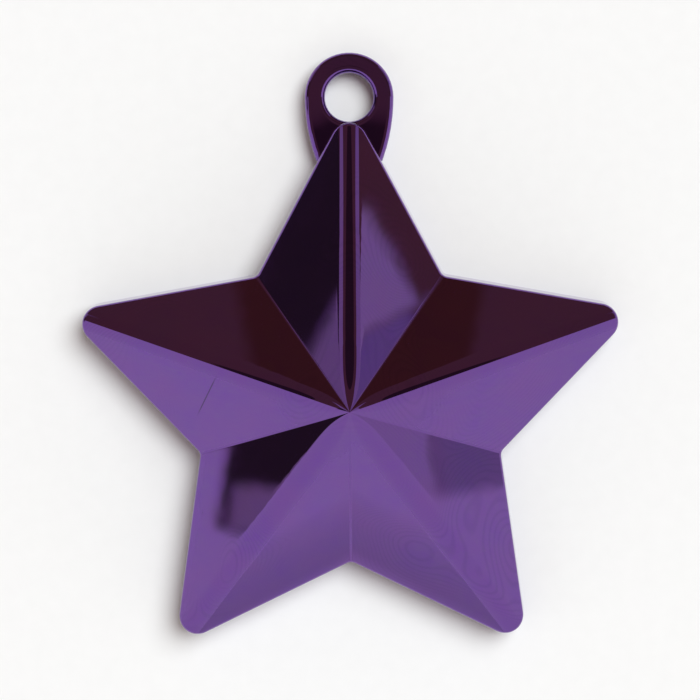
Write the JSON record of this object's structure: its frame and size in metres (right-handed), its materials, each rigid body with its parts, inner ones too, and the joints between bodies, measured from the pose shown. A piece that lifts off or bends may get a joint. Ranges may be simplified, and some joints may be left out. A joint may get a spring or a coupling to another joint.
{
  "type": "balloon weight",
  "caption": "Star-shaped balloon weight: a faceted plated shell with rounded tips, closed by a flat back cover with a hanging tab, with a cast ballast inside",
  "frame": {"origin": "the star's centre on the flat back that it rests on", "axes": "+Z points out of the faceted face, +Y towards the hanging tab, +X to the right as the face is looked at"},
  "size_m": [0.1002, 0.1084, 0.0305],
  "materials": {
    "plated_plastic": "metallised moulded ABS under clear purple lacquer, mirror gloss",
    "ballast": "rough cast cement with iron grit"
  },
  "bodies": {
    "root": {"front_shell": "plated_plastic", "back_cover": "plated_plastic", "ballast": "ballast"}
  },
  "joints": []
}
